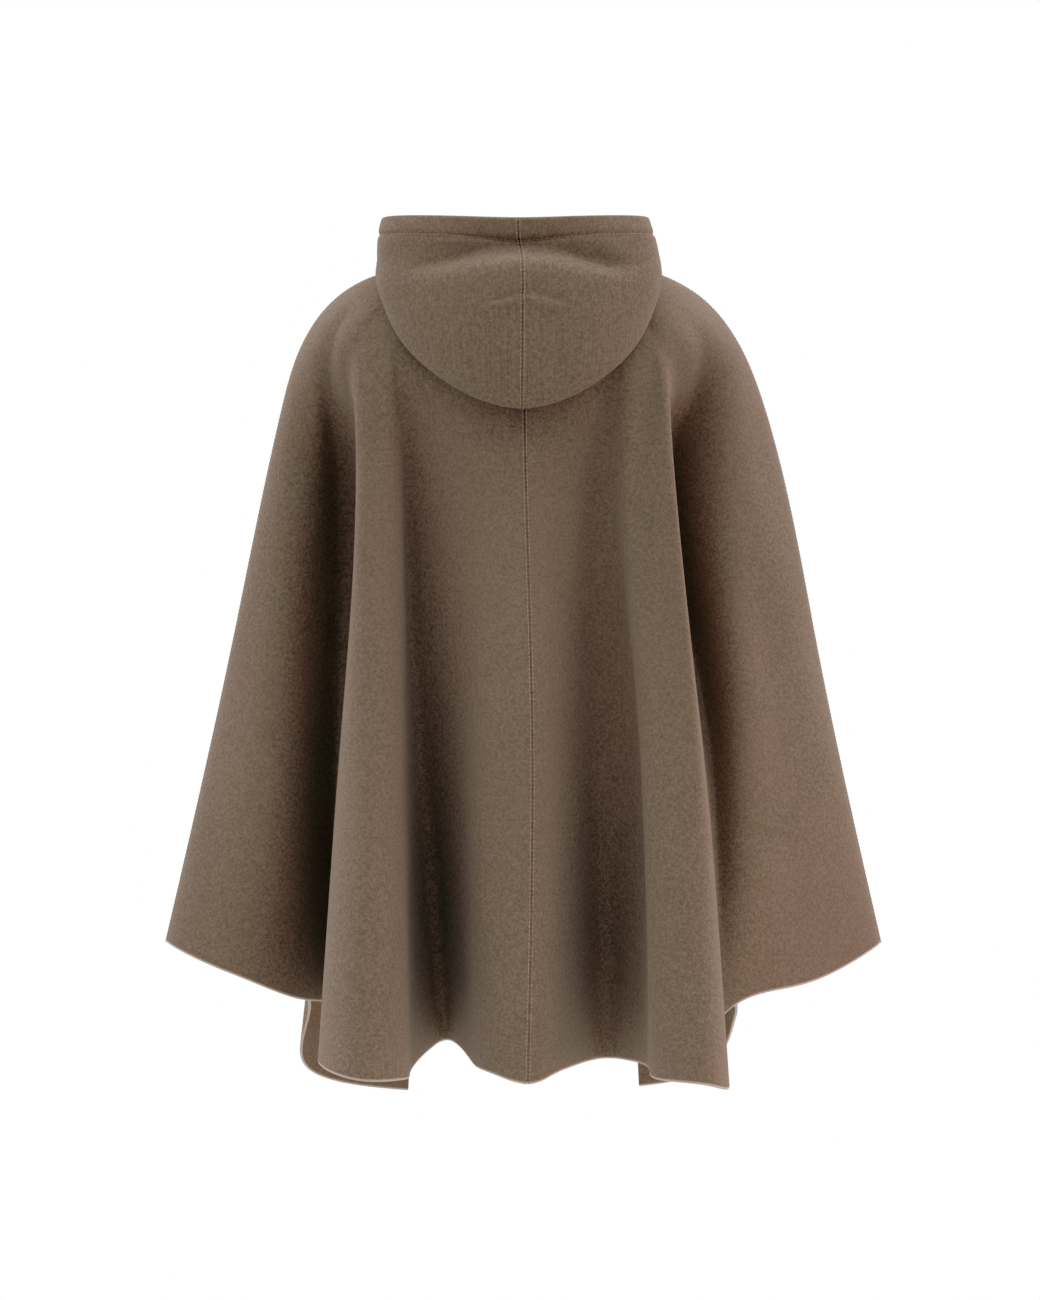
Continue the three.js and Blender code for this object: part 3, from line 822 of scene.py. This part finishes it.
def stitch_tree():
    """Stitches laid end to end along lines, each lying on the cloth's own slant."""
    tree = bpy.data.node_groups.new("stitch_rows", "GeometryNodeTree")
    ask = tree.interface.new_socket
    ask(name="Lines", in_out="INPUT", socket_type="NodeSocketGeometry")
    for name, value in (
        ("Spacing", 0.0042),
        ("Stitch length", 0.0038),
        ("Thread width", 0.0009),
        ("Unevenness", 0.12),
    ):
        ask(name=name, in_out="INPUT", socket_type="NodeSocketFloat").default_value = value
    ask(name="Seed", in_out="INPUT", socket_type="NodeSocketInt").default_value = 7
    ask(name="Thread", in_out="INPUT", socket_type="NodeSocketMaterial")
    ask(name="Stitches", in_out="OUTPUT", socket_type="NodeSocketGeometry")
    start = add_node(tree, "NodeGroupInput").outputs
    curve = add_node(tree, "GeometryNodeMeshToCurve", {"Mesh": start["Lines"]}).outputs["Curve"]
    spaced = add_node(
        tree,
        "GeometryNodeResampleCurve",
        {"Curve": curve, "Length": start["Spacing"]},
        mode="LENGTH",
    )
    off_cloth = add_node(
        tree, "GeometryNodeInputNamedAttribute", {"Name": "off_cloth"}, data_type="FLOAT_VECTOR"
    ).outputs["Attribute"]
    tangent = add_node(tree, "GeometryNodeInputTangent").outputs["Tangent"]
    stand = add_node(tree, "FunctionNodeAlignEulerToVector", {"Vector": off_cloth}, axis="Z")
    lie = add_node(
        tree,
        "FunctionNodeAlignEulerToVector",
        {"Rotation": stand.outputs["Rotation"], "Vector": tangent},
        axis="X",
        pivot_axis="Z",
    )
    half_length = reckon(tree, "MULTIPLY", start["Stitch length"], 0.5)
    half_width = reckon(tree, "MULTIPLY", start["Thread width"], 0.5)
    least = reckon(tree, "SUBTRACT", 1.0, start["Unevenness"])
    most = reckon(tree, "ADD", 1.0, start["Unevenness"])
    varied = add_node(
        tree,
        "FunctionNodeRandomValue",
        {"Min": least, "Max": most, "Seed": start["Seed"]},
        data_type="FLOAT",
    )
    long = reckon(tree, "MULTIPLY", half_length, varied.outputs["Value"])
    size = add_node(
        tree, "ShaderNodeCombineXYZ", {"X": long, "Y": half_width, "Z": half_width}
    )
    bead = add_node(tree, "GeometryNodeMeshUVSphere", {"Segments": 6, "Rings": 5, "Radius": 1.0})
    placed = add_node(
        tree,
        "GeometryNodeInstanceOnPoints",
        {
            "Points": spaced.outputs["Curve"],
            "Instance": bead.outputs["Mesh"],
            "Rotation": lie.outputs["Rotation"],
            "Scale": size.outputs["Vector"],
        },
    )
    real = add_node(tree, "GeometryNodeRealizeInstances", {"Geometry": placed.outputs["Instances"]})
    finished = add_node(
        tree,
        "GeometryNodeSetMaterial",
        {"Geometry": real.outputs["Geometry"], "Material": start["Thread"]},
    )
    end = add_node(tree, "NodeGroupOutput")
    tree.links.new(finished.outputs["Geometry"], end.inputs["Stitches"])
    return tree


stitch_rows = stitch_tree()


def stitched(name, lines, settings):
    """A mesh of stitches along lines, each line a pair of its points and the ways off the cloth."""
    mesh = bpy.data.meshes.new(name + "_lines")
    points = np.concatenate([line[0] for line in lines]) * MM
    off = np.concatenate([line[1] for line in lines])
    edges, first = [], 0
    for line in lines:
        count = len(line[0])
        edges += [(first + i, first + i + 1) for i in range(count - 1)]
        first += count
    mesh.from_pydata(points.tolist(), edges, [])
    attribute = mesh.attributes.new("off_cloth", "FLOAT_VECTOR", "POINT")
    attribute.data.foreach_set("vector", off.astype(np.float32).ravel())
    guide = bpy.data.objects.new(name + "_lines", mesh)
    bpy.context.scene.collection.objects.link(guide)
    modifier = guide.modifiers.new("stitches", "NODES")
    modifier.node_group = stitch_rows
    for item in stitch_rows.interface.items_tree:
        if item.item_type == "SOCKET" and item.in_out == "INPUT" and item.name in settings:
            modifier[item.identifier] = settings[item.name]
    evaluated = guide.evaluated_get(bpy.context.evaluated_depsgraph_get())
    made = bpy.data.meshes.new_from_object(evaluated)
    made.name = name
    bpy.data.objects.remove(guide)
    made.polygons.foreach_set("use_smooth", [True] * len(made.polygons))
    piece = bpy.data.objects.new(name, made)
    bpy.context.scene.collection.objects.link(piece)
    return piece


def beside_seam(inner, outer, column, side):
    """A line on the outside of the cloth, beside a seam, on one side of it."""
    points, off = [], []
    for row in range(outer.shape[1]):
        step, gap = column, 0.0
        while gap < SEAM_LIP_PLACE:
            here = outer[step, row]
            step += side
            before, gap = gap, float(np.linalg.norm(outer[step, row] - outer[column, row]))
        share = (SEAM_LIP_PLACE - before) / max(gap - before, TINY)
        points.append(here + (outer[step, row] - here) * share)
        off.append(unit(outer[step, row] - inner[step, row]))
    points, off = np.array(points), np.array(off)
    return points + off * STITCH_LIFT, off


thread_settings = {"Thread": thread}
body_stitches = stitched(
    "body_seam_stitches",
    [beside_seam(inner_side, outer_side, c, side) for c in seam_columns for side in (-1, 1)],
    thread_settings,
)
hem_off = unit(hood_outer[:, stitch_row] - hood_inner[:, stitch_row])
hood_stitches = stitched(
    "hood_stitches",
    [beside_seam(hood_inner, hood_outer, middle_column, side) for side in (-1, 1)]
    + [(hood_outer[:, stitch_row] + hem_off * STITCH_LIFT, hem_off)],
    thread_settings,
)

# ---- What each piece stands for ----

for piece, node in (
    (front_right, "front_right"),
    (back_right, "back_right"),
    (back_left, "back_left"),
    (front_left, "front_left"),
    (hood_right, "hood_right"),
    (hood_left, "hood_left"),
):
    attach(piece, "root")
    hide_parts(node)
for piece in (body_stitches, hood_stitches):
    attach(piece, "root")

# ---- Floor, light and camera ----


def pale_matte(name, colour):
    """Plain matt paper with hardly any unevenness."""
    material = bpy.data.materials.new(name)
    material.use_nodes = True
    tree = material.node_tree
    shader = tree.nodes["Principled BSDF"]
    place = add_node(tree, "ShaderNodeTexCoord").outputs["Object"]
    grain = spread(tree, noise(tree, place, 30.0), 0.3, 0.7, 0.98, 1.0)
    toned = add_node(tree, "ShaderNodeHueSaturation", {"Color": colour, "Value": grain})
    tree.links.new(toned.outputs["Color"], shader.inputs["Base Color"])
    shader.inputs["Roughness"].default_value = 0.9
    return material


FLOOR_HEIGHT = -1.45
FLOOR_HALF = 1.2  # of its width
floor_mesh = bpy.data.meshes.new("studio_floor")
floor_mesh.from_pydata(
    [
        (-FLOOR_HALF, -FLOOR_HALF, FLOOR_HEIGHT),
        (FLOOR_HALF, -FLOOR_HALF, FLOOR_HEIGHT),
        (FLOOR_HALF, FLOOR_HALF, FLOOR_HEIGHT),
        (-FLOOR_HALF, FLOOR_HALF, FLOOR_HEIGHT),
    ],
    [],
    [(0, 1, 2, 3)],
)
floor_mesh.materials.append(pale_matte("floor_paper", (0.9, 0.9, 0.9, 1)))
floor = bpy.data.objects.new("studio_floor", floor_mesh)
bpy.context.scene.collection.objects.link(floor)

scene = bpy.context.scene
scene.view_settings.view_transform = "Standard"

# Soft curves of tone, each a list of brightness before and after: deeper shade, and a little less
# colour in it.
TONE_ALL = [
    (0.02, 0.002), (0.04, 0.0115), (0.06, 0.0345), (0.085, 0.0725), (0.12, 0.118), (0.2, 0.205),
]
TONE_RED = [(0.05, 0.0495), (0.1, 0.098), (0.2, 0.195), (0.5, 0.49)]
TONE_GREEN = [
    (0.01, 0.0136), (0.0195, 0.0246), (0.034, 0.0404), (0.05, 0.055), (0.075, 0.078),
    (0.1, 0.1), (0.12, 0.1165), (0.14, 0.132), (0.2, 0.189), (0.5, 0.49),
]
TONE_BLUE = [
    (0.0065, 0.0076), (0.0125, 0.015), (0.02, 0.0255), (0.031, 0.0395), (0.056, 0.0632),
    (0.078, 0.079), (0.1, 0.0935), (0.2, 0.188), (0.5, 0.49),
]
RED, GREEN, BLUE, ALL = 0, 1, 2, 3  # the curves' places in Blender's list
scene.view_settings.use_curve_mapping = True
tones = scene.view_settings.curve_mapping
for channel, steps in ((ALL, TONE_ALL), (RED, TONE_RED), (GREEN, TONE_GREEN), (BLUE, TONE_BLUE)):
    for step in steps:
        tones.curves[channel].points.new(*step)
tones.update()

# The sky lights the cape from the sides and above, and is plain white where it is seen.
SKY_BEHIND_CAMERA = 0.44
SKY_SIDES = 1.27
SKY_LOW = 0.5
SKY_HIGH = 1.15
world = bpy.data.worlds.new("studio")
world.use_nodes = True
scene.world = world
sky = world.node_tree
sky.nodes.clear()
way = add_node(sky, "ShaderNodeTexCoord").outputs["Generated"]
parts = add_node(sky, "ShaderNodeSeparateXYZ", {"Vector": way}).outputs
behind = spread(sky, parts["Y"], 0.2, 0.95, SKY_SIDES, SKY_BEHIND_CAMERA)
above = spread(sky, parts["Z"], -0.8, 0.9, SKY_LOW, SKY_HIGH)
strength = reckon(sky, "MULTIPLY", behind, above)
lit = add_node(sky, "ShaderNodeBackground", {"Color": (1, 1, 1, 1), "Strength": strength})
seen = add_node(sky, "ShaderNodeBackground", {"Color": (1, 1, 1, 1), "Strength": 1.0})
eye = add_node(sky, "ShaderNodeLightPath").outputs["Is Camera Ray"]
mixed = add_node(
    sky, "ShaderNodeMixShader", {0: eye, 1: lit.outputs[0], 2: seen.outputs[0]}
).outputs[0]
sky_out = add_node(sky, "ShaderNodeOutputWorld")
sky.links.new(mixed, sky_out.inputs["Surface"])


def turned_from(place, target):
    """How a lamp or a camera at a place is turned to face a target."""
    return (Vector(target) - Vector(place)).to_track_quat("-Z", "Y").to_euler()


def soft_light(name, place, target, size, power, colour=(1, 1, 1)):
    """A wide lamp at a place, turned towards a target."""
    light = bpy.data.lights.new(name, "AREA")
    light.color = colour
    light.shape = "RECTANGLE"
    light.size, light.size_y = size
    light.energy = power
    lamp = bpy.data.objects.new(name, light)
    lamp.location = place
    lamp.rotation_euler = turned_from(place, target)
    scene.collection.objects.link(lamp)


soft_light(
    "top_softbox",
    place=(0.0, 1.3, 2.2),
    target=(0.0, 0.1, -0.3),
    size=(2.4, 1.4),
    power=8,
)
soft_light(
    "warm_side",
    place=(-1.9, 0.7, -1.0),
    target=(-0.3, 0.05, -0.65),
    size=(0.6, 0.6),
    power=4.2,
    colour=(1, 0.28, 0.12),
)

CAMERA_PLACE = (0.004, 4.0, -0.230)
CAMERA_TARGET = (0.004, 0.0, -0.390)
FRAME_HEIGHT = 1.352  # of what the camera takes in, at its target
SENSOR = 36.0
camera_data = bpy.data.cameras.new("camera")
camera_data.sensor_fit = "VERTICAL"
camera_data.sensor_height = SENSOR
camera_distance = (Vector(CAMERA_PLACE) - Vector(CAMERA_TARGET)).length
camera_data.lens = SENSOR * camera_distance / FRAME_HEIGHT
camera = bpy.data.objects.new("camera", camera_data)
camera.location = CAMERA_PLACE
camera.rotation_euler = turned_from(CAMERA_PLACE, CAMERA_TARGET)
scene.collection.objects.link(camera)
scene.camera = camera
